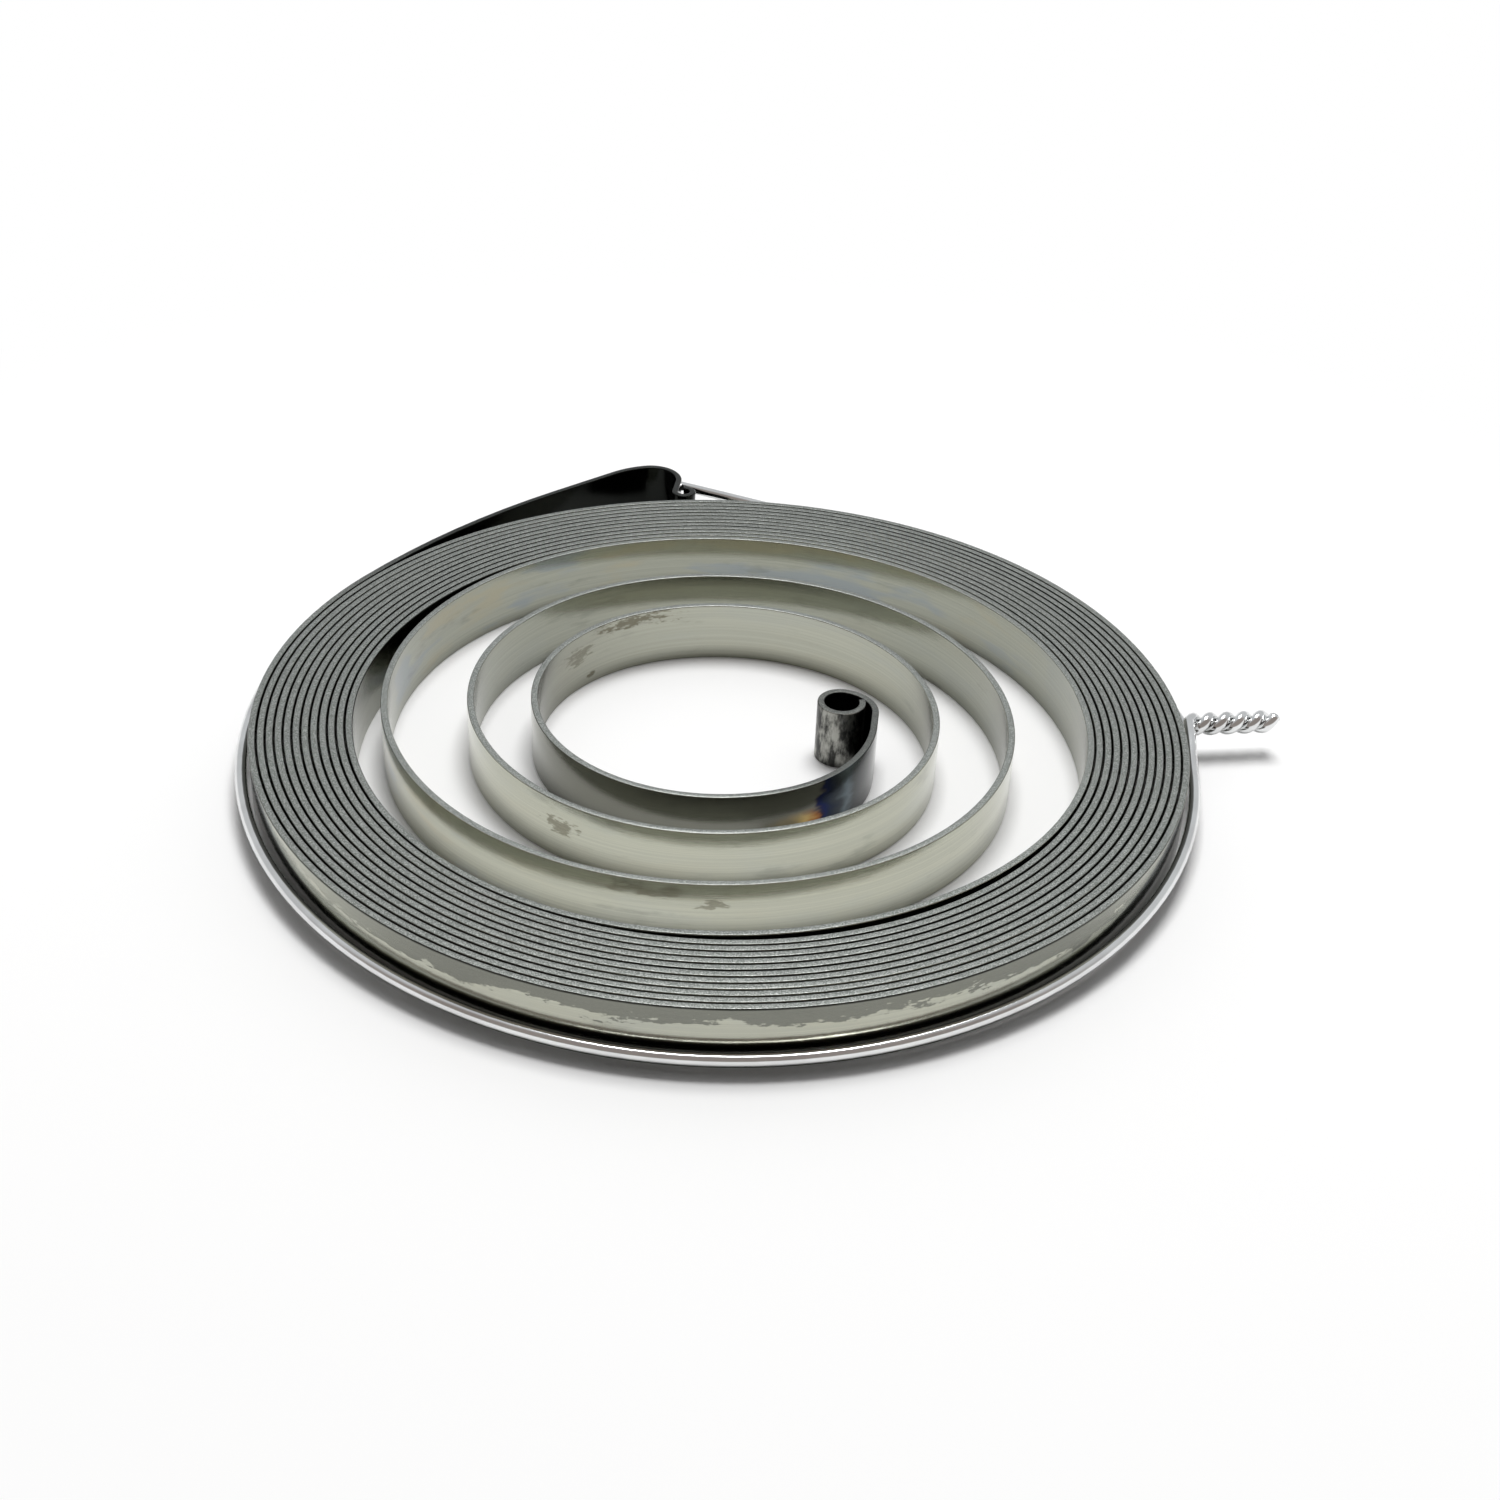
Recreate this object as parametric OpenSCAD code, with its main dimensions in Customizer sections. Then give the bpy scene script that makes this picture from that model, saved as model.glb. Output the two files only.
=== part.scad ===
// Recoil starter spring: one flat steel strip wound into a spiral, with an eye rolled at its
// inner end and a hook bent at its outer end, tied round with a wire whose ends are twisted.
// The coil's axis is Z, and the spring lies on z = 0 on the edges of the strip.

/* [Strip] */
// Width of the strip, which is the height of the spring as it lies
strip_w = 5.5; // [4.5:0.1:8]
// Thickness of the strip
strip_t = 0.6; // [0.45:0.05:0.75]
// Bevel along the edges of the strip
edge_bevel = 0.1; // [0.04:0.02:0.16]

/* [Packed coil] */
// Outer radius of the packed coil
coil_r = 40; // [36:0.5:48]
// Full turns that lie packed together
packed_turns = 11; // [7:1:12]
// Gap between neighbouring packed turns
turn_gap = 0.12; // [0.08:0.01:0.2]
// Direction from the axis in which the outer arm leaves the coil
arm_angle = 150; // [140:1:160]
// Direction in which one half turn of the coil runs into the next
seam_angle = 168; // [164:1:180]
// Depth by which the last packed turn sags away from the others
sag_depth = 0.45; // [0.1:0.05:0.8]
// Angle that the sag takes up
sag_span = 110; // [80:5:140]

/* [Loose turns] */
// Angle over which the strip still follows the packed coil after the sag
follow_turn = 130; // [110:5:150]
// Step in radius from the packed coil to the first loose half turn
loose_step = 3.2; // [2.4:0.1:4]
// Radius of each loose half turn as a share of the one before it
loose_ratio = 0.863; // [0.85:0.001:0.88]
// Number of loose half turns
loose_halves = 5; // [3:2:5]

/* [Inner eye] */
// Radius of the neck as a share of the last loose half turn
neck_ratio = 0.79; // [0.7:0.01:0.9]
// Angle through which the neck turns
neck_turn = 57; // [45:1:70]
// Straight length between the neck and the shoulder of the eye
neck_l = 2.1; // [0.5:0.1:3]
// Angle through which the shoulder turns
shoulder_turn = 85; // [75:1:95]
// Radius of the bore of the eye
eye_bore_r = 1.5; // [1.2:0.1:1.8]
// Angle through which the strip is rolled round the bore
eye_turn = 295; // [285:1:300]
// Gap between the end of the strip and the shoulder
lip_gap = 0.15; // [0.1:0.05:0.4]

/* [Outer hook] */
// Radius of the bow in which the arm leaves the coil
bow_r = 80; // [65:5:120]
// Angle through which the bow turns
bow_turn = 18; // [15:1:21]
// Distance from the outside of the coil to the middle of the hook
hook_standoff = 4.35; // [4.2:0.05:6]
// Radius of the crook between the arm and the hook
crook_r = 8.5; // [6:0.5:11]
// Angle through which the crook turns
crook_turn = 24; // [18:1:30]
// Radius of the hook
hook_r = 2.8; // [2.4:0.1:3.1]
// Angle through which the hook turns
hook_turn = 114; // [105:1:120]
// Straight length between the hook and the curl
hook_l = 2.2; // [1.6:0.1:2.6]
// Radius of the curl at the end of the hook
curl_r = 0.9; // [0.8:0.05:1.1]
// Gap between the end of the curl and the straight before it
curl_gap = 0.15; // [0.1:0.05:0.3]

/* [Wire tie] */
// Diameter of the wire
wire_d = 1; // [0.7:0.05:1.3]
// Gap between the wire and the outside of the strip
wire_gap = 0.3; // [0.1:0.05:0.5]
// Height of the middle of the wire at the front of the coil
wire_front_z = 1.5; // [1:0.1:2.5]
// Depth of the middle of the wire below the upper edge of the strip behind the hook
wire_hook_drop = 2.2; // [0.8:0.1:2.8]
// Direction from the axis in which the twisted ends leave the ring
twist_angle = 6; // [-10:1:20]
// Angle over which each end of the ring runs straight to the twist
lead_angle = 10; // [8:1:14]
// Distance from the ring to the start of the twist
twist_root = 0.85; // [0.6:0.05:1.2]
// Height of the axis of the twist above the ring
twist_lift = 0.3; // [0:0.05:0.6]
// Turn of the twisted ends away from the radial direction
twist_lean = 3; // [-10:1:15]
// Length of the twisted ends
twist_l = 7.6; // [4:0.2:12]
// Length of one full turn of the twist
twist_lay = 3.1; // [3:0.1:6]
// Gap between the two twisted strands
twist_gap = 0.08; // [0.06:0.01:0.2]
// Distance from the axis of the twist at which the ends bend into it
ring_opening = 0.6; // [0.5:0.05:1]

/* [Hidden] */
$fa = 3;
$fs = 0.15;

// Packed coil: each half turn is half a pitch smaller than the one outside it
pitch = strip_t + turn_gap;
first_r = coil_r - strip_t / 2;
halves = 2 * packed_turns;
function half_turn_r(k) = first_r - k * pitch / 2;

// Sag: three arcs that leave a circle, dip by sag_depth and come back onto it
sag_r = half_turn_r(halves + 1);
sag_tight = sag_depth / (2 * (1 - cos(sag_span / 4)));
sag_wide = sag_tight * (2 * cos(sag_span / 4) - 1);

// Loose turns and eye, at the middle of the strip
follow_r = half_turn_r(halves + 2);
function loose_r(k) = (follow_r - loose_step) * pow(loose_ratio, k);
neck_r = loose_r(loose_halves - 1) * neck_ratio;
eye_r = eye_bore_r + strip_t / 2;
shoulder_r = eye_r + (strip_t + lip_gap) / (1 - cos(eye_turn));

// A path is a list of steps. A step is [radius, turn], where a positive turn is to the left,
// or [length, 0] for a straight. A place on a path is [x, y, heading].
function step_centre(at, step) =
    let (side = sign(step[1]) * step[0])
    [at[0] - side * sin(at[2]), at[1] + side * cos(at[2])];
function step_end(at, step) =
    step[1] == 0
    ? [at[0] + step[0] * cos(at[2]), at[1] + step[0] * sin(at[2]), at[2]]
    : let (c = step_centre(at, step), side = sign(step[1]) * step[0], h = at[2] + step[1])
      [c[0] + side * sin(h), c[1] - side * cos(h), h];
function places(at, steps, i = 0) =
    i == len(steps) ? [at] : concat([at], places(step_end(at, steps[i]), steps, i + 1));

// The strip starts where the arm leaves the coil. One path runs inwards, the other outwards.
inward_start = [first_r * cos(arm_angle), first_r * sin(arm_angle), arm_angle + 90];
outward_start = [inward_start[0], inward_start[1], arm_angle - 90];
inward_steps = concat(
    [[first_r, seam_angle - arm_angle]],
    [for (k = [1 : halves]) [half_turn_r(k), 180]],
    [
        [sag_r, 180 - sag_span],
        [sag_r - sag_tight, sag_span / 4],
        [sag_r + sag_wide, sag_span / 2],
        [sag_r - sag_tight, sag_span / 4],
        [follow_r, follow_turn],
    ],
    [for (k = [0 : loose_halves - 1]) [loose_r(k), 180]],
    [
        [neck_r, neck_turn],
        [neck_l, 0],
        [shoulder_r, shoulder_turn],
        [eye_r, eye_turn],
    ]
);

// The arm is as long as it takes to bring the hook to its distance from the coil
bow_end = step_end(outward_start, [bow_r, -bow_turn]);
near_hook = step_centre(step_end(bow_end, [crook_r, -crook_turn]), [hook_r, -hook_turn]);
arm_lead = near_hook[0] * cos(bow_end[2]) + near_hook[1] * sin(bow_end[2]);
arm_l = sqrt(pow(coil_r + hook_standoff, 2) - near_hook * near_hook + pow(arm_lead, 2)) - arm_lead;
// The curl turns until its end comes up to the straight before it
curl_turn = 360 - acos(1 - (strip_t + curl_gap) / curl_r);
outward_steps = [
    [bow_r, -bow_turn],
    [arm_l, 0],
    [crook_r, -crook_turn],
    [hook_r, -hook_turn],
    [hook_l, 0],
    [curl_r, curl_turn],
];
inward_places = places(inward_start, inward_steps);
outward_places = places(outward_start, outward_steps);

// Wire ring: it follows the outside of the strip, goes round the hook and runs straight back
// onto the coil, on the same steps as the strip with its own offset
wire_r = wire_d / 2;
wire_off = strip_t / 2 + wire_gap + wire_r;
ring_r = half_turn_r(2) + wire_off;
hook_at = outward_places[3];
hook_centre = step_centre(hook_at, outward_steps[3]);
hook_to_axis = norm(hook_centre);
span_dip = asin((ring_r - hook_r - wire_off) / hook_to_axis);
span_heading = atan2(-hook_centre[1], -hook_centre[0]) + span_dip;
span_l = hook_to_axis * cos(span_dip);
ring_from = twist_angle - lead_angle;
ring_to = twist_angle + lead_angle;
ring_start = [ring_r * cos(ring_from), ring_r * sin(ring_from), ring_from - 90];
ring_steps = [
    [ring_r, seam_angle - 180 - ring_from],
    [half_turn_r(1) + wire_off, -180],
    [first_r + wire_off, arm_angle - seam_angle],
    [bow_r + wire_off, -bow_turn],
    [arm_l, 0],
    [crook_r + wire_off, -crook_turn],
    [hook_r + wire_off, span_heading - hook_at[2]],
    [span_l, 0],
    [ring_r, ring_to - 90 - span_heading],
];
ring_places = places(ring_start, ring_steps);

// The ring rises from the front and levels out towards the hook
ring_front_y = -half_turn_r(1) - wire_off;
ring_back_y = hook_centre[1] + hook_r + wire_off;
ring_rise = strip_w - wire_hook_drop - wire_front_z;
function ring_z(y) =
    let (u = (y - ring_front_y) / (ring_back_y - ring_front_y))
    wire_front_z + ring_rise * u * (2 - u);
function on_ring(p) = [p[0], p[1], ring_z(p[1])];

// Points along one step of the ring, without its first one
arc_step = 6;
function step_points(at, step) =
    let (n = step[1] == 0 ? 3 : max(2, ceil(abs(step[1]) / arc_step)))
    [for (i = [1 : n])
        on_ring(step_end(at, step[1] == 0 ? [step[0] * i / n, 0] : [step[0], step[1] * i / n]))];
ring_points = concat(
    [on_ring(ring_start)],
    [for (i = [0 : len(ring_steps) - 1]) each step_points(ring_places[i], ring_steps[i])]
);

// Twisted ends: two left-hand helices round one axis. The near end crosses over the far one.
helix_r = (wire_d + twist_gap) / 2;
twist_heading = twist_angle + twist_lean;
twist_from = on_ring((ring_r + twist_root) * [cos(twist_angle), sin(twist_angle)]) + [0, 0, twist_lift];
twist_along = [cos(twist_heading), sin(twist_heading), 0];
twist_aside = [-sin(twist_heading), cos(twist_heading), 0];
helix_steps = 16;
function helix_point(phase, s) =
    let (a = phase - 360 * s / twist_lay)
    twist_from + s * twist_along + helix_r * (cos(a) * twist_aside + [0, 0, sin(a)]);
function helix_points(phase) =
    let (n = ceil(helix_steps * twist_l / twist_lay))
    [for (i = [0 : n]) helix_point(phase, twist_l * i / n)];
near_strand = helix_points(90);
far_strand = helix_points(-90);

// Leads: both ends of the ring leave the coil straight, and come to the twist above and below
// its axis, so that they pass each other
lead_l = ring_r * tan(lead_angle) - ring_opening;
lead_steps = 5;
function lead_points(at, way, rise) =
    [for (i = [1 : lead_steps])
        let (t = i / lead_steps)
        on_ring(step_end(at, [way * lead_l * t, 0])) + [0, 0, rise * t * t * (3 - 2 * t)]];
near_lead = lead_points(ring_places[0], -1, twist_lift + helix_r);
far_lead = lead_points(ring_places[len(ring_steps)], 1, twist_lift - helix_r);

// Bends that turn the leads into the twist
bend_steps = 7;
bend_reach = 0.36;
function bend_points(p0, d0, p1, d1) =
    let (reach = bend_reach * norm(p1 - p0), q0 = p0 + reach * d0, q1 = p1 - reach * d1)
    [for (i = [1 : bend_steps - 1])
        let (t = i / bend_steps, u = 1 - t)
        u * u * u * p0 + 3 * u * u * t * q0 + 3 * u * t * t * q1 + t * t * t * p1];
function unit(v) = v / norm(v);
lead_last = lead_steps - 1;
near_bend = bend_points(
    near_strand[0], unit(near_strand[0] - near_strand[1]),
    near_lead[lead_last], unit(near_lead[lead_last - 1] - near_lead[lead_last])
);
far_bend = bend_points(
    far_lead[lead_last], unit(far_lead[lead_last] - far_lead[lead_last - 1]),
    far_strand[0], unit(far_strand[1] - far_strand[0])
);
function reversed(points) = [for (i = [len(points) - 1 : -1 : 0]) points[i]];
wire_points = concat(
    reversed(near_strand), near_bend, reversed(near_lead), ring_points, far_lead, far_bend, far_strand
);

// Section of the strip, across its thickness and up its width, with its faces set in by inset
module strip_section(inset) {
    half = strip_t / 2 - inset;
    low = inset;
    high = strip_w - inset;
    b = edge_bevel;
    polygon([
        [-half + b, low], [half - b, low], [half, low + b], [half, high - b],
        [half - b, high], [-half + b, high], [-half, high - b], [-half, low + b],
    ]);
}

// One step of the strip, run on by lap at both ends
module strip_piece(at, step, inset, lap) {
    if (step[1] == 0) {
        translate([at[0], at[1], 0])
            rotate(at[2])
                translate([-lap, 0, 0])
                    rotate([90, 0, 90])
                        linear_extrude(step[0] + 2 * lap)
                            strip_section(inset);
    } else {
        run_on = lap / step[0] * 180 / PI;
        from = at[2] - 90 * sign(step[1]) + min(step[1], 0) - run_on;
        translate(concat(step_centre(at, step), 0))
            rotate(from)
                rotate_extrude(angle = abs(step[1]) + 2 * run_on)
                    translate([step[0], 0])
                        strip_section(inset);
    }
}

// Every second step runs on into its neighbours by joint_lap and is finer by joint_inset a
// side, so that the steps join into one body
joint_lap = 0.04;
joint_inset = 0.005;
module strip_path(at_places, steps, first_fine) {
    for (i = [0 : len(steps) - 1])
        if (i % 2 == first_fine)
            strip_piece(at_places[i], steps[i], joint_inset, joint_lap);
        else
            strip_piece(at_places[i], steps[i], 0, 0);
}

// Round bar swept along points, with flat ends
wire_sides = 10;
module swept_bar(points, r, sides) {
    last = len(points) - 1;
    rings = [for (i = [0 : last])
        let (
            along = unit(points[min(i + 1, last)] - points[max(i - 1, 0)]),
            across = unit(cross(along, [0, 0, 1])),
            up = cross(across, along)
        )
        for (j = [0 : sides - 1])
            points[i] + r * (cos(360 * j / sides) * across + sin(360 * j / sides) * up)];
    skin = [for (i = [0 : last - 1], j = [0 : sides - 1])
        let (a = i * sides + j, b = i * sides + (j + 1) % sides, c = a + sides, d = b + sides)
        each [[a, b, c], [b, d, c]]];
    first_cap = [for (j = [sides - 1 : -1 : 0]) j];
    last_cap = [for (j = [0 : sides - 1]) last * sides + j];
    polyhedron(rings, concat(skin, [first_cap, last_cap]));
}

module spring_strip() {
    color([0.66, 0.66, 0.62]) {
        strip_path(inward_places, inward_steps, 1);
        strip_path(outward_places, outward_steps, 0);
    }
}

module retaining_wire() {
    color([0.86, 0.87, 0.88])
        swept_bar(wire_points, wire_r, wire_sides);
}

spring_strip();
retaining_wire();
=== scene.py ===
import math

import bmesh
import bpy
from mathutils import Matrix, Vector


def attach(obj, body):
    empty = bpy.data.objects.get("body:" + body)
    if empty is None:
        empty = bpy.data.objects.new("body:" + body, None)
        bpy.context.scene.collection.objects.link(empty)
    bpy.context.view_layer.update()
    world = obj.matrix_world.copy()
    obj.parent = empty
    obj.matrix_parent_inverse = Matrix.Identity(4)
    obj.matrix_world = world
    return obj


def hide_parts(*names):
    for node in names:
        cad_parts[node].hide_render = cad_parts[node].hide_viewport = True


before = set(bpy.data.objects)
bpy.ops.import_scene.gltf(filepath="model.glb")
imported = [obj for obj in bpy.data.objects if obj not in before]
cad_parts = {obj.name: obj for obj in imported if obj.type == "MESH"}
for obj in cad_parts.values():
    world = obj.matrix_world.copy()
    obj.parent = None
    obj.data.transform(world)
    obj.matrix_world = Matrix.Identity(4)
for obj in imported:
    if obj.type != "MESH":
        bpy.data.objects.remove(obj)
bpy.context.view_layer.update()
mm = 0.001
scene = bpy.context.scene
print("frame loaded:", sorted(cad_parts))


# small helpers for shader nodes

def newMaterial(name):
    mat = bpy.data.materials.new(name)
    mat.use_nodes = True
    tree = mat.node_tree
    return mat, tree, tree.nodes["Principled BSDF"]


def feed(tree, socket, value):
    if isinstance(value, bpy.types.NodeSocket):
        tree.links.new(value, socket)
    else:
        socket.default_value = value


def maths(tree, operation, a, b=0.0, c=0.0, clamp=False):
    node = tree.nodes.new("ShaderNodeMath")
    node.operation = operation
    node.use_clamp = clamp
    for socket, value in zip(node.inputs, (a, b, c)):
        feed(tree, socket, value)
    return node.outputs[0]


def ranged(tree, value, low, high, toLow=0.0, toHigh=1.0, smooth=True):
    node = tree.nodes.new("ShaderNodeMapRange")
    node.interpolation_type = "SMOOTHSTEP" if smooth else "LINEAR"
    for name, v in (("Value", value), ("From Min", low), ("From Max", high),
                    ("To Min", toLow), ("To Max", toHigh)):
        feed(tree, node.inputs[name], v)
    return node.outputs["Result"]


def blended(tree, factor, a, b, kind="MIX"):
    node = tree.nodes.new("ShaderNodeMix")
    node.data_type = "RGBA"
    node.blend_type = kind
    feed(tree, node.inputs[0], factor)
    feed(tree, node.inputs[6], a if isinstance(a, bpy.types.NodeSocket) else (*a, 1))
    feed(tree, node.inputs[7], b if isinstance(b, bpy.types.NodeSocket) else (*b, 1))
    return node.outputs[2]


def vector(tree, x, y, z):
    node = tree.nodes.new("ShaderNodeCombineXYZ")
    for socket, value in zip(node.inputs, (x, y, z)):
        feed(tree, socket, value)
    return node.outputs[0]


def noise(tree, coords, detail=3.0, rough=0.5, scale=1.0):
    node = tree.nodes.new("ShaderNodeTexNoise")
    feed(tree, node.inputs["Vector"], coords)
    node.inputs["Scale"].default_value = scale
    node.inputs["Detail"].default_value = detail
    node.inputs["Roughness"].default_value = rough
    return node.outputs["Fac"]


def ramp(tree, value, stops):
    node = tree.nodes.new("ShaderNodeValToRGB")
    feed(tree, node.inputs[0], value)
    marks = node.color_ramp.elements
    while len(marks) < len(stops):
        marks.new(0.5)
    for mark, (place, colour) in zip(marks, stops):
        mark.position = place
        mark.color = (*colour, 1)
    return node.outputs[0]


def attribute(tree, name):
    node = tree.nodes.new("ShaderNodeAttribute")
    node.attribute_name = name
    return node.outputs["Fac"]


def bumped(tree, shader, height, strength, distance):
    node = tree.nodes.new("ShaderNodeBump")
    node.inputs["Strength"].default_value = strength
    node.inputs["Distance"].default_value = distance
    feed(tree, node.inputs["Height"], height)
    tree.links.new(node.outputs[0], shader.inputs["Normal"])


def finishPiece(bm, name, mat, node):
    mesh = bpy.data.meshes.new(name)
    bm.to_mesh(mesh)
    bm.free()
    for polygon in mesh.polygons:
        polygon.use_smooth = True
    piece = bpy.data.objects.new(name, mesh)
    scene.collection.objects.link(piece)
    mesh.materials.append(mat)
    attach(piece, "root")
    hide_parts(node)
    return piece


# the spring strip, sizes in mm, turns in degrees with left as plus

strip = {
    "width": 5.5, "thickness": 0.6, "edgeRound": 0.1,
    "coilRadius": 40.0, "packedTurns": 11, "turnGap": 0.12,
    "armAngle": 150.0, "seamAngle": 168.0,
    "sagDepth": 0.45, "sagSpan": 110.0,
    "followTurn": 130.0, "looseStep": 3.2, "looseRatio": 0.863, "looseHalves": 5,
    "neckRatio": 0.79, "neckTurn": 57.0, "neckLength": 2.1,
    "shoulderTurn": 85.0, "eyeBore": 1.5, "eyeTurn": 295.0, "lipGap": 0.15,
    "bowRadius": 80.0, "bowTurn": 18.0, "hookStandoff": 4.35,
    "crookRadius": 8.5, "crookTurn": 24.0, "hookRadius": 2.8, "hookTurn": 114.0,
    "hookLength": 2.2, "curlRadius": 0.9, "curlGap": 0.15,
    "facet": 2.5, "smallFacet": 7.0,
}


def centreOf(place, step):
    x, y, heading = place
    side = math.copysign(step[0], step[1])
    return x - side * math.sin(math.radians(heading)), y + side * math.cos(math.radians(heading))


def endOf(place, step):
    x, y, heading = place
    if step[1] == 0:
        return (x + step[0] * math.cos(math.radians(heading)),
                y + step[0] * math.sin(math.radians(heading)), heading)
    cx, cy = centreOf(place, step)
    side = math.copysign(step[0], step[1])
    after = math.radians(heading + step[1])
    return cx + side * math.sin(after), cy - side * math.cos(after), heading + step[1]


def inwardSteps(s):
    pitch = s["thickness"] + s["turnGap"]
    firstR = s["coilRadius"] - s["thickness"] / 2
    halves = 2 * s["packedTurns"]
    halfR = lambda k: firstR - k * pitch / 2
    steps = [(firstR, s["seamAngle"] - s["armAngle"])]
    steps += [(halfR(k), 180) for k in range(1, halves + 1)]
    quarter = s["sagSpan"] / 4
    tight = s["sagDepth"] / (2 * (1 - math.cos(math.radians(quarter))))
    wide = tight * (2 * math.cos(math.radians(quarter)) - 1)
    sagR = halfR(halves + 1)
    steps += [(sagR, 180 - s["sagSpan"]), (sagR - tight, quarter),
              (sagR + wide, 2 * quarter), (sagR - tight, quarter)]
    followR = halfR(halves + 2)
    steps.append((followR, s["followTurn"]))
    looseR = [(followR - s["looseStep"]) * s["looseRatio"] ** k for k in range(s["looseHalves"])]
    steps += [(r, 180) for r in looseR]
    eyeR = s["eyeBore"] + s["thickness"] / 2
    shoulderR = eyeR + (s["thickness"] + s["lipGap"]) / (1 - math.cos(math.radians(s["eyeTurn"])))
    steps += [(looseR[-1] * s["neckRatio"], s["neckTurn"]), (s["neckLength"], 0),
              (shoulderR, s["shoulderTurn"]), (eyeR, s["eyeTurn"])]
    return steps


def outwardSteps(s, start):
    bow = (s["bowRadius"], -s["bowTurn"])
    crook = (s["crookRadius"], -s["crookTurn"])
    hook = (s["hookRadius"], -s["hookTurn"])
    bowEnd = endOf(start, bow)
    hookX, hookY = centreOf(endOf(bowEnd, crook), hook)
    heading = math.radians(bowEnd[2])
    lead = hookX * math.cos(heading) + hookY * math.sin(heading)
    reach = s["coilRadius"] + s["hookStandoff"]
    armLength = math.sqrt(reach ** 2 - hookX ** 2 - hookY ** 2 + lead ** 2) - lead
    # the curl turns until its end comes up to the straight before it
    stopShort = math.degrees(math.acos(1 - (s["thickness"] + s["curlGap"]) / s["curlRadius"]))
    curl = (s["curlRadius"], 360 - stopShort)
    return [bow, (armLength, 0), crook, hook, (s["hookLength"], 0), curl]


firstR = strip["coilRadius"] - strip["thickness"] / 2
armX = firstR * math.cos(math.radians(strip["armAngle"]))
armY = firstR * math.sin(math.radians(strip["armAngle"]))
outward = outwardSteps(strip, (armX, armY, strip["armAngle"] - 90))
outwardPlaces = [(armX, armY, strip["armAngle"] - 90)]
for step in outward:
    outwardPlaces.append(endOf(outwardPlaces[-1], step))

# the strip is swept from the curl of the hook inwards to the eye
tipX, tipY, tipHeading = outwardPlaces[-1]
stripStart = (tipX, tipY, tipHeading + 180)
stripSteps = [(r, -turn) for r, turn in reversed(outward)] + inwardSteps(strip)


def sweepStrip(s, place, steps):
    bm = bmesh.new()
    bmesh.ops.create_grid(bm, x_segments=1, y_segments=1, size=0.5)
    bmesh.ops.scale(bm, vec=(s["thickness"] * mm, s["width"] * mm, 1), verts=bm.verts)
    bmesh.ops.bevel(bm, geom=bm.verts[:], offset=s["edgeRound"] * mm, offset_type="OFFSET",
                    segments=3, profile=0.5, affect="VERTICES", material=-1)
    sectionSize = len(bm.verts)
    depth = bm.verts.layers.float.new("depth")
    along = bm.verts.layers.float.new("along")
    for v in bm.verts:
        v[depth] = -v.co.x
    # stand the section up across the strip's heading
    left = math.radians(place[2] + 90)
    stand = Matrix.Translation((place[0] * mm, place[1] * mm, s["width"] / 2 * mm)) \
        @ Matrix.Rotation(left + math.pi, 4, "Z") @ Matrix.Rotation(math.pi / 2, 4, "X")
    bmesh.ops.transform(bm, matrix=stand, verts=bm.verts)
    ring = bm.verts[:] + bm.edges[:] + bm.faces[:]
    lengths = [0.0]
    for r, turn in steps:
        if turn == 0:
            count = max(1, round(r / 2))
            ahead = Vector((math.cos(math.radians(place[2])), math.sin(math.radians(place[2])), 0))
            made = bmesh.ops.spin(bm, geom=ring, cent=(0, 0, 0), axis=(0, 0, 1),
                                  dvec=ahead * (r * mm / count), angle=0, steps=count)
            travelled = r
        else:
            count = math.ceil(abs(turn) / (s["facet"] if r > 6 else s["smallFacet"]))
            cx, cy = centreOf(place, (r, turn))
            made = bmesh.ops.spin(bm, geom=ring, cent=(cx * mm, cy * mm, 0), axis=(0, 0, 1),
                                  dvec=(0, 0, 0), angle=math.radians(turn), steps=count)
            travelled = r * math.radians(abs(turn))
        ring = made["geom_last"]
        begun = lengths[-1]
        lengths += [begun + travelled * (i + 1) / count for i in range(count)]
        place = endOf(place, (r, turn))
    # rings stand in the order they were made, so each vertex knows how far along it is
    for i, v in enumerate(bm.verts):
        v[along] = lengths[i // sectionSize] * mm
    bmesh.ops.recalc_face_normals(bm, faces=bm.faces)
    return bm, lengths[-1], place


stripMesh, stripLength, stripEnd = sweepStrip(strip, stripStart, stripSteps)
print("strip swept:", len(stripMesh.verts), "vertices, length", round(stripLength, 1), "mm")


# the retaining wire, sizes in mm

wire = {
    "diameter": 1.0, "gap": 0.3, "frontHeight": 1.5, "hookDrop": 2.2,
    "twistAngle": 6.0, "leadAngle": 10.0, "twistRoot": 0.85, "twistLift": 0.3,
    "twistLean": 3.0, "twistLength": 7.6, "twistLay": 3.1, "twistGap": 0.08, "ringOpening": 0.6,
    "sides": 18, "facet": 2.5, "leadSteps": 8, "helixSteps": 26, "bendSteps": 10, "bendReach": 0.36,
}


def wireRise(w, s):
    pitch = s["thickness"] + s["turnGap"]
    off = s["thickness"] / 2 + w["gap"] + w["diameter"] / 2
    frontY = -(firstR - pitch / 2) - off
    backY = centreOf(outwardPlaces[3], outward[3])[1] + s["hookRadius"] + off
    return frontY, backY, s["width"] - w["hookDrop"] - w["frontHeight"]


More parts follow.
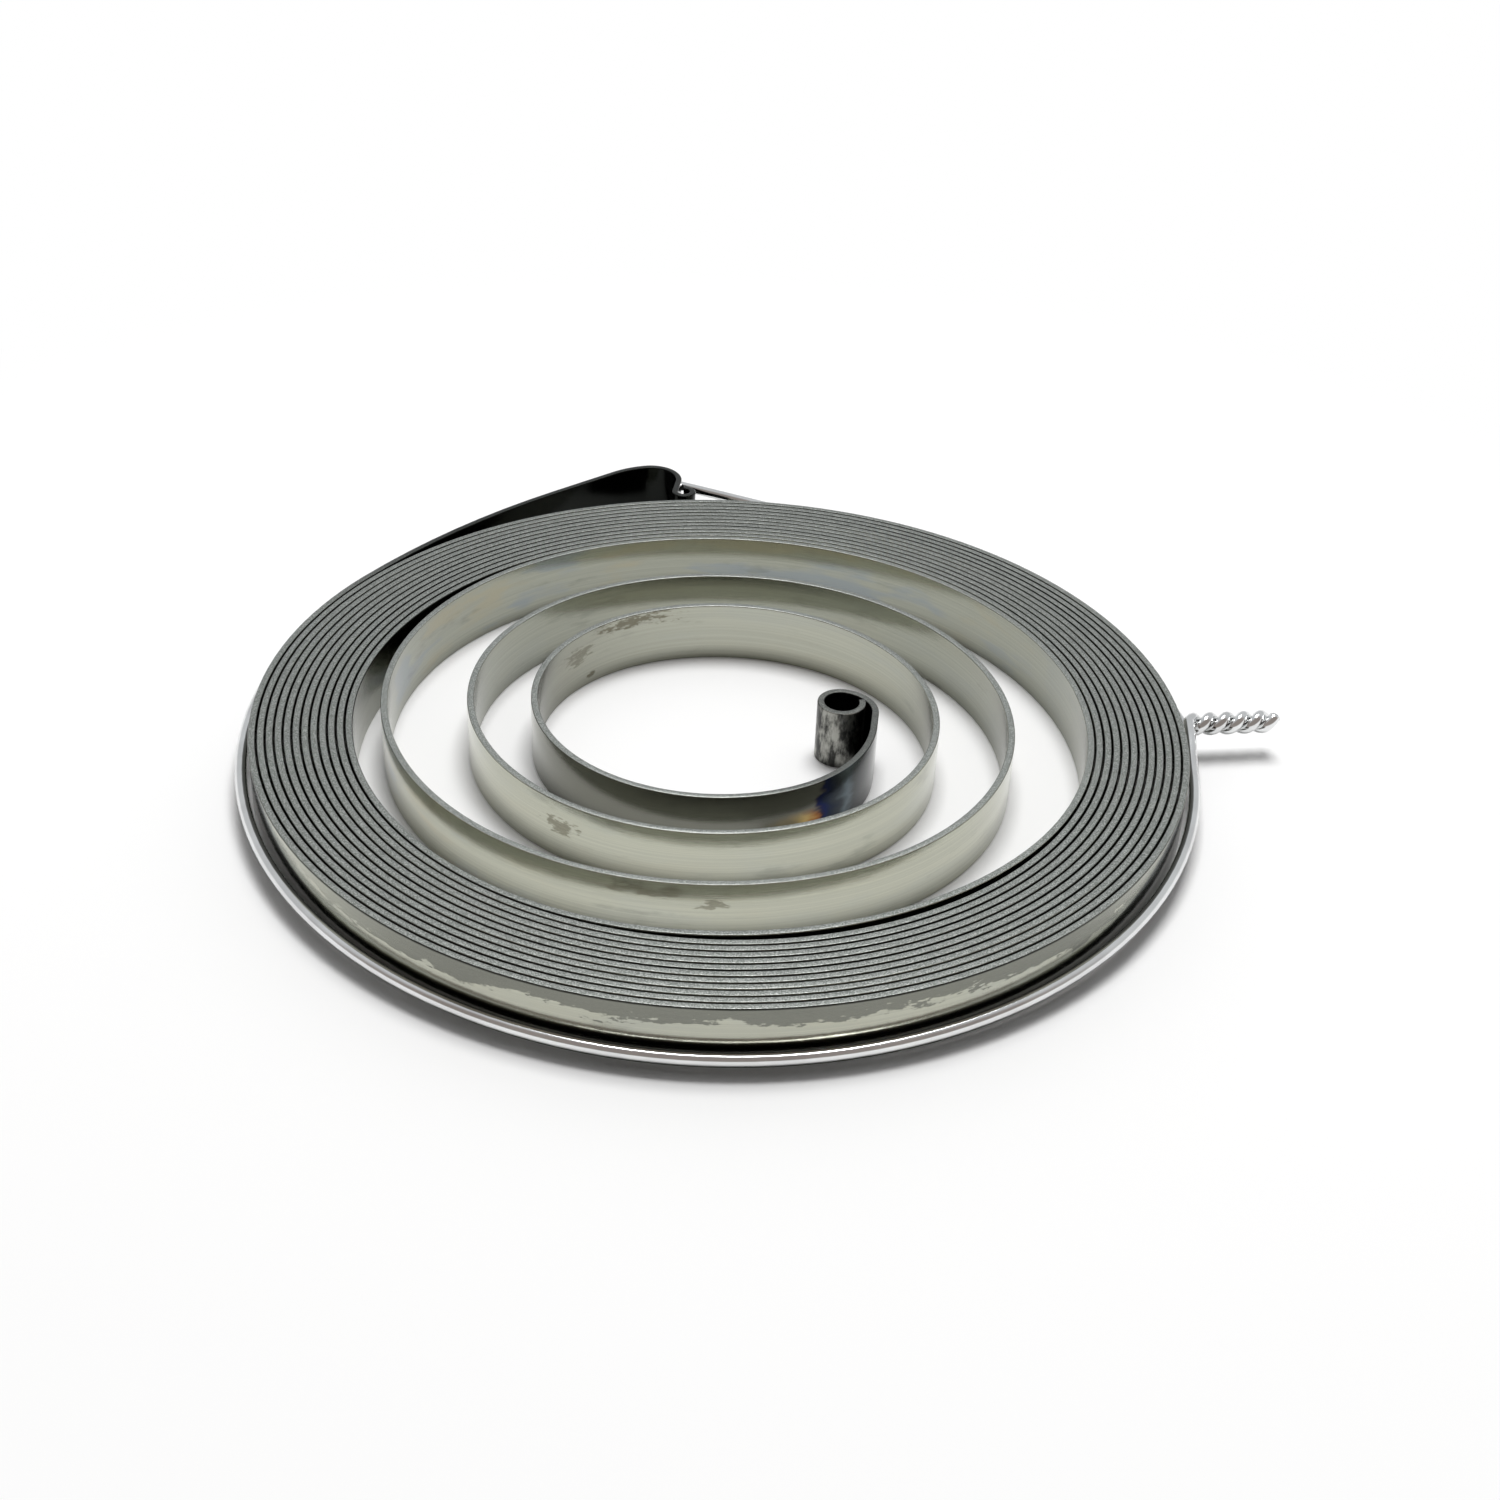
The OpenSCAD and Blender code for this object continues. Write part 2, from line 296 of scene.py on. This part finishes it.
def wirePath(w, s):
    pitch = s["thickness"] + s["turnGap"]
    off = s["thickness"] / 2 + w["gap"] + w["diameter"] / 2
    ringR = firstR - pitch + off
    hookCx, hookCy = centreOf(outwardPlaces[3], outward[3])
    away = math.hypot(hookCx, hookCy)
    dip = math.degrees(math.asin((ringR - s["hookRadius"] - off) / away))
    spanHeading = math.degrees(math.atan2(-hookCy, -hookCx)) + dip
    spanLength = away * math.cos(math.radians(dip))
    ringFrom, ringTo = w["twistAngle"] - w["leadAngle"], w["twistAngle"] + w["leadAngle"]
    place = (ringR * math.cos(math.radians(ringFrom)), ringR * math.sin(math.radians(ringFrom)),
             ringFrom - 90)
    steps = [(ringR, s["seamAngle"] - 180 - ringFrom), (firstR - pitch / 2 + off, -180),
             (firstR + off, s["armAngle"] - s["seamAngle"]), (s["bowRadius"] + off, -s["bowTurn"]),
             outward[1], (s["crookRadius"] + off, -s["crookTurn"]),
             (s["hookRadius"] + off, spanHeading - outwardPlaces[3][2]), (spanLength, 0),
             (ringR, ringTo - 90 - spanHeading)]
    frontY, backY, rise = wireRise(w, s)

    def raised(x, y):
        u = (y - frontY) / (backY - frontY)
        return Vector((x, y, w["frontHeight"] + rise * u * (2 - u)))

    ringStart = place
    ring = [raised(place[0], place[1])]
    for r, turn in steps:
        count = max(2, math.ceil((r / 1.5) if turn == 0 else abs(turn) / w["facet"]))
        for i in range(1, count + 1):
            part = (r * i / count, 0) if turn == 0 else (r, turn * i / count)
            x, y, _ = endOf(place, part)
            ring.append(raised(x, y))
        place = endOf(place, (r, turn))
    # two left-hand helices, the near end crossing over the far one
    helixR = (w["diameter"] + w["twistGap"]) / 2
    angle, heading = math.radians(w["twistAngle"]), math.radians(w["twistAngle"] + w["twistLean"])
    rootR = ringR + w["twistRoot"]
    root = raised(rootR * math.cos(angle), rootR * math.sin(angle)) + Vector((0, 0, w["twistLift"]))
    ahead = Vector((math.cos(heading), math.sin(heading), 0))
    aside = Vector((-math.sin(heading), math.cos(heading), 0))
    count = math.ceil(w["helixSteps"] * w["twistLength"] / w["twistLay"])

    def strand(phase):
        points = []
        for i in range(count + 1):
            run = w["twistLength"] * i / count
            turn = math.radians(phase - 360 * run / w["twistLay"])
            swing = aside * math.cos(turn) + Vector((0, 0, math.sin(turn)))
            points.append(root + ahead * run + swing * helixR)
        return points

    # both ends leave the coil straight and come to the twist above and below its axis
    leadLength = ringR * math.tan(math.radians(w["leadAngle"])) - w["ringOpening"]

    def lead(place, way, climb):
        points = []
        for i in range(1, w["leadSteps"] + 1):
            a = i / w["leadSteps"]
            x, y, _ = endOf(place, (way * leadLength * a, 0))
            points.append(raised(x, y) + Vector((0, 0, climb * a * a * (3 - 2 * a))))
        return points

    def bend(p0, d0, p1, d1):
        reach = w["bendReach"] * (p1 - p0).length
        q0, q1 = p0 + d0 * reach, p1 - d1 * reach
        points = []
        for i in range(1, w["bendSteps"]):
            a = i / w["bendSteps"]
            b = 1 - a
            points.append(p0 * b ** 3 + q0 * (3 * b * b * a) + q1 * (3 * b * a * a) + p1 * a ** 3)
        return points

    near, far = strand(90), strand(-90)
    nearLead = lead(ringStart, -1, w["twistLift"] + helixR)
    farLead = lead(place, 1, w["twistLift"] - helixR)
    nearBend = bend(near[0], (near[0] - near[1]).normalized(),
                    nearLead[-1], (nearLead[-2] - nearLead[-1]).normalized())
    farBend = bend(farLead[-1], (farLead[-1] - farLead[-2]).normalized(),
                   far[0], (far[1] - far[0]).normalized())
    return [p * mm for p in near[::-1] + nearBend + nearLead[::-1] + ring + farLead + farBend + far]


def sweepWire(w, points):
    bm = bmesh.new()
    bmesh.ops.create_circle(bm, cap_ends=True, segments=w["sides"], radius=w["diameter"] / 2 * mm)
    along = bm.verts.layers.float.new("along")

    def frameAt(i):
        ahead = (points[min(i + 1, len(points) - 1)] - points[max(i - 1, 0)]).normalized()
        across = ahead.cross(Vector((0, 0, 1))).normalized()
        up = across.cross(ahead)
        return Matrix.Translation(points[i]) @ Matrix((across, up, -ahead)).transposed().to_4x4()

    placed = frameAt(0)
    bmesh.ops.transform(bm, matrix=placed, verts=bm.verts)
    ring = bm.verts[:] + bm.edges[:] + bm.faces[:]
    run = 0.0
    for i in range(1, len(points)):
        made = bmesh.ops.extrude_face_region(bm, geom=ring)["geom"]
        old = [f for f in ring if isinstance(f, bmesh.types.BMFace)]
        if i > 1:
            bmesh.ops.delete(bm, geom=[f for f in old if f.is_valid], context="FACES_ONLY")
        ring = made
        run += (points[i] - points[i - 1]).length
        verts = [v for v in ring if isinstance(v, bmesh.types.BMVert)]
        following = frameAt(i)
        bmesh.ops.transform(bm, matrix=following @ placed.inverted(), verts=verts)
        placed = following
        for v in verts:
            v[along] = run
    bmesh.ops.recalc_face_normals(bm, faces=bm.faces)
    return bm


wirePoints = wirePath(wire, strip)
wireMesh = sweepWire(wire, wirePoints)
print("wire swept:", len(wireMesh.verts), "vertices")

# polished strip steel: grain along the length, blotches, stains, heat tint and a dull eye

steel = {
    # some of these colours carry painted shade and painted highlights, as marked where they are used
    "clean": (0.51, 0.515, 0.43), "shade": (0.45, 0.455, 0.385), "innerShade": (0.63, 0.64, 0.65),
    "straw": (0.52, 0.485, 0.365), "bluish": (0.39, 0.425, 0.435),
    "stain": (0.19, 0.195, 0.17), "spot": (0.12, 0.105, 0.065),
    "edge": (0.15, 0.16, 0.15), "edgeHighlight": (0.47, 0.49, 0.465),
    "darkening": (0.02, 0.02, 0.018), "oxideAndShade": (0.012, 0.013, 0.012),
    "neckOxideAndShade": (0.115, 0.115, 0.10), "eyeDark": (0.035, 0.035, 0.033), "eyeLight": (0.40, 0.40, 0.365),
    # places along the strip, in mm from the curl
    "hookDark": 36.0, "hookFade": 60.0, "stainFrom": 112.0, "stainTo": 158.0,
    "firstTurnEnd": 295.0,
    # places in mm before the end of the strip
    "packedEnd": 470.0, "blotchFrom": 390.0, "blotchTo": 325.0,
    "innermostFrom": 130.0, "innermostTo": 95.0,
    "neckFrom": 85.0, "neckTo": 45.0, "tintFrom": 36.0, "eyeFrom": 13.0,
    # scuffs: place before the end, height, half length, half height, strength
    "scuffs": [(76.0, 4.9, 4.0, 0.8, 0.75), (69.0, 3.5, 2.2, 0.9, 0.55), (71.0, 0.9, 0.6, 0.4, 0.8),
               (155.0, 3.2, 2.0, 0.8, 0.6), (291.0, 4.6, 3.5, 0.6, 0.6), (286.0, 3.6, 1.4, 0.5, 0.5)],
}


def steelMaterial(c, s, w, length):
    mat, t, shader = newMaterial("stripSteel")
    along = attribute(t, "along")
    depth = attribute(t, "depth")
    coords = t.nodes.new("ShaderNodeTexCoord").outputs["Object"]
    split = t.nodes.new("ShaderNodeSeparateXYZ")
    t.links.new(coords, split.inputs[0])
    alongMm = maths(t, "MULTIPLY", along, 1000.0)
    upMm = maths(t, "MULTIPLY", split.outputs[2], 1000.0)
    sideMm = maths(t, "MULTIPLY", depth, 1000.0)
    toEnd = maths(t, "SUBTRACT", length, alongMm)
    outness = maths(t, "ABSOLUTE", sideMm)
    half = s["thickness"] / 2
    # how far a point is on the narrow edge rather than on a broad face
    edge = ranged(t, outness, half - 0.015, half - 0.065)

    def grainNoise(perAlong, perUp, perSide, detail, rough):
        return noise(t, vector(t, maths(t, "MULTIPLY", alongMm, perAlong),
                               maths(t, "MULTIPLY", upMm, perUp),
                               maths(t, "MULTIPLY", sideMm, perSide)), detail, rough)

    grain = grainNoise(0.03, 9.0, 9.0, 4.0, 0.6)
    fineGrain = grainNoise(0.45, 22.0, 14.0, 3.0, 0.6)
    blotch = grainNoise(0.075, 0.30, 3.0, 3.0, 0.55)
    cloud = grainNoise(0.16, 0.55, 5.0, 4.0, 0.6)
    speck = grainNoise(0.9, 2.6, 2.0, 5.0, 0.65)

    colour = blended(t, ranged(t, grain, 0.38, 0.66), c["shade"], c["clean"])
    blotched = maths(t, "MULTIPLY", ranged(t, toEnd, c["blotchFrom"] + 30, c["blotchFrom"]),
                     ranged(t, toEnd, c["blotchTo"] - 30, c["blotchTo"]))
    blotched = maths(t, "MULTIPLY_ADD", blotched, 0.75, 0.12)
    yellow = maths(t, "MULTIPLY", ranged(t, blotch, 0.53, 0.64), blotched)
    colour = blended(t, yellow, colour, c["straw"])
    blue = maths(t, "MULTIPLY", ranged(t, blotch, 0.47, 0.37), blotched)
    colour = blended(t, blue, colour, c["bluish"])
    colour = blended(t, ranged(t, cloud, 0.58, 0.72, 0.0, 0.3), colour, c["stain"])
    # the inner face is painted darker than the outer one, as painted shade for the dim reflections it
    # shows, least on the innermost turn
    dull = maths(t, "MULTIPLY", ranged(t, sideMm, 0.1, half),
                 ranged(t, toEnd, c["innermostTo"], c["innermostFrom"], 0.4, 1.0))
    colour = blended(t, dull, colour, blended(t, 1.0, colour, c["innerShade"], "MULTIPLY"))

    # ragged stain along the upper half of the outermost face
    ragged = maths(t, "MULTIPLY_ADD", maths(t, "SUBTRACT", cloud, 0.5), 4.0, upMm)
    ragged = maths(t, "MULTIPLY_ADD", maths(t, "SUBTRACT", speck, 0.5), 2.4, ragged)
    stain = ranged(t, ragged, 3.95, 4.2)
    stain = maths(t, "MULTIPLY", stain, ranged(t, sideMm, -half + 0.02, -half + 0.005))
    stain = maths(t, "MULTIPLY", stain, ranged(t, alongMm, c["stainFrom"] - 25, c["stainFrom"]))
    stain = maths(t, "MULTIPLY", stain, ranged(t, alongMm, c["stainTo"] + 25, c["stainTo"]))
    colour = blended(t, maths(t, "MULTIPLY", stain, 0.9), colour, c["stain"])

    # painted shade on the outermost face where the wire lies against it: a near-black band for the wire's
    # shadow and its dark mirror image
    frontY, backY, rise = wireRise(w, s)
    wayBack = ranged(t, maths(t, "MULTIPLY", split.outputs[1], 1000.0), frontY, backY, smooth=False)
    wireUp = maths(t, "MULTIPLY", wayBack, maths(t, "SUBTRACT", 2.0, wayBack))
    above = maths(t, "SUBTRACT", upMm, maths(t, "MULTIPLY_ADD", wireUp, rise, w["frontHeight"]))
    # at the sides it reaches up to the edge, and it ends before the back
    above = maths(t, "SUBTRACT", above, ranged(t, wayBack, 0.12, 0.36, 0.0, 3.0))
    wireShade = maths(t, "MULTIPLY", ranged(t, above, 1.1, 0.55), ranged(t, wayBack, 0.70, 0.45))
    wireShade = maths(t, "MULTIPLY", wireShade, ranged(t, sideMm, -half + 0.02, -half + 0.005))
    wireShade = maths(t, "MULTIPLY", wireShade, ranged(t, alongMm, c["firstTurnEnd"] + 5, c["firstTurnEnd"]))
    colour = blended(t, maths(t, "MULTIPLY", wireShade, 0.88), colour, c["darkening"])

    # brown scuffs on the loose turns
    scuffed = 0.0
    for place, height, halfLength, halfHeight, strength in c["scuffs"]:
        x = maths(t, "DIVIDE", maths(t, "SUBTRACT", toEnd, place), halfLength)
        y = maths(t, "DIVIDE", maths(t, "SUBTRACT", upMm, height), halfHeight)
        reach = maths(t, "SQRT", maths(t, "ADD", maths(t, "MULTIPLY", x, x), maths(t, "MULTIPLY", y, y)))
        reach = maths(t, "MULTIPLY_ADD", maths(t, "SUBTRACT", speck, 0.5), 4.0, reach)
        scuffed = maths(t, "MAXIMUM", scuffed, ranged(t, reach, 0.95, 0.45, 0.0, strength))
    colour = blended(t, scuffed, colour, c["spot"])

    # the neck darkens before the heat tint at the eye, partly oxide and partly painted shade for the dark
    # reflections it shows
    colour = blended(t, ranged(t, toEnd, c["neckFrom"], c["neckTo"], 0.0, 0.85), colour, c["neckOxideAndShade"])
    wave = grainNoise(0.25, 0.55, 1.0, 3.0, 0.6)
    tinted = maths(t, "MULTIPLY_ADD", maths(t, "SUBTRACT", wave, 0.5), 4.0, alongMm)
    tinted = maths(t, "MULTIPLY", maths(t, "SUBTRACT", tinted, length - c["tintFrom"]),
                   1 / c["tintFrom"], clamp=True)
    heat = ramp(t, tinted, [
        (0.00, c["neckOxideAndShade"]), (0.15, (0.085, 0.082, 0.065)), (0.20, (0.13, 0.11, 0.065)),
        (0.24, (0.36, 0.26, 0.10)), (0.262, (0.24, 0.10, 0.035)), (0.275, (0.025, 0.016, 0.025)),
        (0.287, (0.006, 0.012, 0.06)), (0.305, (0.010, 0.016, 0.032)), (0.335, (0.022, 0.028, 0.034)),
        (0.37, (0.085, 0.11, 0.125)), (0.40, (0.03, 0.035, 0.038)), (0.48, (0.022, 0.024, 0.024)),
        (1.00, (0.07, 0.07, 0.066)),
    ])
    # the straw colour stays low on the face, and above it the face is painted dark as a painted reflection
    # of the dark eye
    heat = blended(t, maths(t, "MULTIPLY", ranged(t, upMm, 2.2, 3.4), ranged(t, tinted, 0.285, 0.27)),
                   heat, c["neckOxideAndShade"])
    colour = blended(t, ranged(t, tinted, 0.05, 0.18), colour, heat)

    # upright streaks on the rolled eye; its bore is painted near black, heat oxide together with painted
    # shade in the recess
    streak = grainNoise(1.5, 0.45, 1.0, 4.0, 0.65)
    onEye = ranged(t, toEnd, c["eyeFrom"], c["eyeFrom"] - 4)
    mottle = blended(t, ranged(t, streak, 0.42, 0.68), c["eyeDark"], c["eyeLight"])
    colour = blended(t, maths(t, "MULTIPLY", onEye, 0.85), colour, mottle)
    insideEye = maths(t, "MULTIPLY", onEye, ranged(t, sideMm, 0.2, 0.28))
    colour = blended(t, insideEye, colour, c["oxideAndShade"])

    # dark oxide on the heated outer end, deepened to near black with painted shade in the hook's narrow
    # wedge
    hookEnd = ranged(t, alongMm, c["hookFade"], c["hookDark"])
    colour = blended(t, hookEnd, colour, c["oxideAndShade"])

    # sheared edges are dull, with bright sparkle painted into their colour as painted glints
    spark = noise(t, coords, 3.0, 0.7, scale=9500.0)
    edgeColour = blended(t, ranged(t, spark, 0.42, 0.68), c["edge"], c["edgeHighlight"])
    # the loose turns' edges are lightened a little, a painted highlight
    edgeColour = blended(t, ranged(t, toEnd, c["packedEnd"], c["packedEnd"] - 60, 0.0, 0.12),
                         edgeColour, c["edgeHighlight"])
    edgeColour = blended(t, ranged(t, toEnd, c["tintFrom"], c["tintFrom"] - 12, 0.0, 0.6),
                         edgeColour, c["eyeDark"])
    colour = blended(t, edge, colour, edgeColour)
    # darker in the corners between the packed turns, heavier on some than on others
    uneven = grainNoise(0.012, 0.0, 0.0, 2.0, 0.5)
    darkening = maths(t, "MULTIPLY", ranged(t, outness, half - 0.09, half - 0.04),
                  ranged(t, upMm, s["width"] - 0.2, s["width"] - 0.1))
    darkening = maths(t, "MULTIPLY", darkening, ranged(t, toEnd, c["packedEnd"] - 20, c["packedEnd"] + 20))
    darkening = maths(t, "MULTIPLY", darkening, ranged(t, uneven, 0.35, 0.60, 0.35, 0.9))
    colour = blended(t, darkening, colour, c["darkening"])
    # the hook end's oxide and painted shade also cover its edges
    colour = blended(t, maths(t, "MULTIPLY", hookEnd, 0.92), colour, c["oxideAndShade"])

    t.links.new(colour, shader.inputs["Base Color"])
    shader.inputs["Metallic"].default_value = 1.0
    roughFace = ranged(t, fineGrain, 0.3, 0.7, 0.09, 0.16)
    dulled = maths(t, "MAXIMUM", scuffed, stain)
    roughFace = maths(t, "MULTIPLY_ADD", dulled, 0.16, roughFace)
    roughFace = maths(t, "MULTIPLY_ADD", onEye, 0.22, roughFace)
    rough = maths(t, "MULTIPLY_ADD", edge, 0.26, roughFace, clamp=True)
    t.links.new(rough, shader.inputs["Roughness"])
    relief = maths(t, "MULTIPLY_ADD", spark, maths(t, "MULTIPLY", edge, 2.0),
                   maths(t, "MULTIPLY", fineGrain, 0.35))
    bumped(t, shader, relief, 0.25, 0.00002)
    return mat


stripSteel = steelMaterial(steel, strip, wire, stripLength)
stripPiece = finishPiece(stripMesh, "springStrip", stripSteel, "spring_strip")
weighted = stripPiece.modifiers.new("evenFaces", "WEIGHTED_NORMAL")
weighted.keep_sharp = False
print("strip dressed")


# bright drawn wire with faint lengthwise marks and a few dull specks

drawn = {"bright": (0.80, 0.81, 0.81), "dull": (0.71, 0.715, 0.715), "spot": (0.30, 0.25, 0.21)}


def wireMaterial(c):
    mat, t, shader = newMaterial("drawnWire")
    along = maths(t, "MULTIPLY", attribute(t, "along"), 1000.0)
    coords = t.nodes.new("ShaderNodeTexCoord").outputs["Object"]
    patch = noise(t, coords, 2.0, 0.5, scale=90.0)
    dies = noise(t, vector(t, maths(t, "MULTIPLY", along, 0.04), patch, 0.0), 2.0, 0.5, scale=4.0)
    speck = noise(t, coords, 4.0, 0.65, scale=1500.0)
    colour = blended(t, ranged(t, dies, 0.35, 0.65), c["dull"], c["bright"])
    colour = blended(t, ranged(t, speck, 0.72, 0.78, 0.0, 0.5), colour, c["spot"])
    t.links.new(colour, shader.inputs["Base Color"])
    shader.inputs["Metallic"].default_value = 1.0
    t.links.new(ranged(t, patch, 0.3, 0.7, 0.10, 0.15), shader.inputs["Roughness"])
    bumped(t, shader, speck, 0.04, 0.00002)
    return mat


drawnWire = wireMaterial(drawn)
wirePiece = finishPiece(wireMesh, "retainingWire", drawnWire, "retaining_wire")
print("wire dressed")


# pale floor, soft light and the camera

studio = {
    "floor": (0.965, 0.965, 0.965), "floorHalf": 1.6,
    "white": (1.0, 1.0, 1.0),
    # even light from all round, more of it from behind
    "backLight": (0.66, 0.66, 0.66), "frontLight": (0.06, 0.058, 0.055),
    # the floor turns plain white to the eye away from the spring, and keeps its shadow near it
    "shadowReach": 0.065, "whiteFrom": 0.12,
    # what polished metal mirrors above the white horizon, behind and before the spring
    "backSky": (0.62, 0.63, 0.64), "frontSky": (0.30, 0.265, 0.245),
    "lampPower": 3.0, "lampSize": 0.28, "lampPlace": (0.03, 0.15, 0.60),
}
bm = bmesh.new()
bmesh.ops.create_grid(bm, x_segments=1, y_segments=1, size=studio["floorHalf"])
floorMesh = bpy.data.meshes.new("floor")
bm.to_mesh(floorMesh)
bm.free()
floorPiece = bpy.data.objects.new("floor", floorMesh)
scene.collection.objects.link(floorPiece)
floorMat, floorTree, floorShader = newMaterial("paleFloor")
floorShader.inputs["Base Color"].default_value = (*studio["floor"], 1)
floorShader.inputs["Roughness"].default_value = 0.75
floorShader.inputs["Specular IOR Level"].default_value = 0.2
floorMesh.materials.append(floorMat)
floorPath = floorTree.nodes.new("ShaderNodeLightPath")
seen = maths(floorTree, "MAXIMUM", floorPath.outputs["Is Camera Ray"], floorPath.outputs["Is Glossy Ray"])
seen = maths(floorTree, "MAXIMUM", seen, floorPath.outputs["Is Transmission Ray"])
reach = floorTree.nodes.new("ShaderNodeVectorMath")
reach.operation = "LENGTH"
floorTree.links.new(floorTree.nodes.new("ShaderNodeTexCoord").outputs["Object"], reach.inputs[0])
whiteness = maths(floorTree, "MULTIPLY", seen,
                  ranged(floorTree, reach.outputs["Value"], studio["shadowReach"], studio["whiteFrom"]))
glow = floorTree.nodes.new("ShaderNodeEmission")
glow.inputs["Color"].default_value = (*studio["white"], 1)
mix = floorTree.nodes.new("ShaderNodeMixShader")
feed(floorTree, mix.inputs[0], whiteness)
floorTree.links.new(floorShader.outputs[0], mix.inputs[1])
floorTree.links.new(glow.outputs[0], mix.inputs[2])
floorTree.links.new(mix.outputs[0], floorTree.nodes["Material Output"].inputs["Surface"])

world = bpy.data.worlds.new("softRoom")
scene.world = world
world.use_nodes = True
wt = world.node_tree
back = wt.nodes["Background"]
split = wt.nodes.new("ShaderNodeSeparateXYZ")
wt.links.new(wt.nodes.new("ShaderNodeTexCoord").outputs["Generated"], split.inputs[0])
rays = wt.nodes.new("ShaderNodeLightPath")
sky = blended(wt, ranged(wt, split.outputs[1], -0.35, 0.25), studio["frontSky"], studio["backSky"])
mirrored = blended(wt, ranged(wt, split.outputs[2], 0.05, 0.30), studio["white"], sky)
ambient = blended(wt, ranged(wt, split.outputs[1], -0.6, 0.6), studio["frontLight"], studio["backLight"])
light = blended(wt, rays.outputs["Is Glossy Ray"], ambient, mirrored)
seen = maths(wt, "MAXIMUM", rays.outputs["Is Camera Ray"], rays.outputs["Is Transmission Ray"])
wt.links.new(blended(wt, seen, light, studio["white"]), back.inputs["Color"])

lamp = bpy.data.lights.new("overheadSoftbox", "AREA")
lamp.energy = studio["lampPower"]
lamp.shape = "SQUARE"
lamp.size = studio["lampSize"]
lampPiece = bpy.data.objects.new("overheadSoftbox", lamp)
lampPiece.location = studio["lampPlace"]
lampPiece.rotation_euler = (-Vector(studio["lampPlace"])).to_track_quat("-Z", "Y").to_euler()
scene.collection.objects.link(lampPiece)

shot = {"place": (0.002216, -0.15154, 0.100888), "tilt": 56.66, "roll": 2.61, "lens": 50.26}
camData = bpy.data.cameras.new("photoCamera")
camData.sensor_width = 36.0
camData.lens = shot["lens"]
camData.clip_start = 0.01
cam = bpy.data.objects.new("photoCamera", camData)
cam.location = shot["place"]
cam.rotation_euler = (Matrix.Rotation(math.radians(shot["tilt"]), 3, "X")
                      @ Matrix.Rotation(math.radians(shot["roll"]), 3, "Z")).to_euler()
scene.collection.objects.link(cam)
scene.camera = cam

scene.view_settings.view_transform = "Standard"
print("stage and camera set")
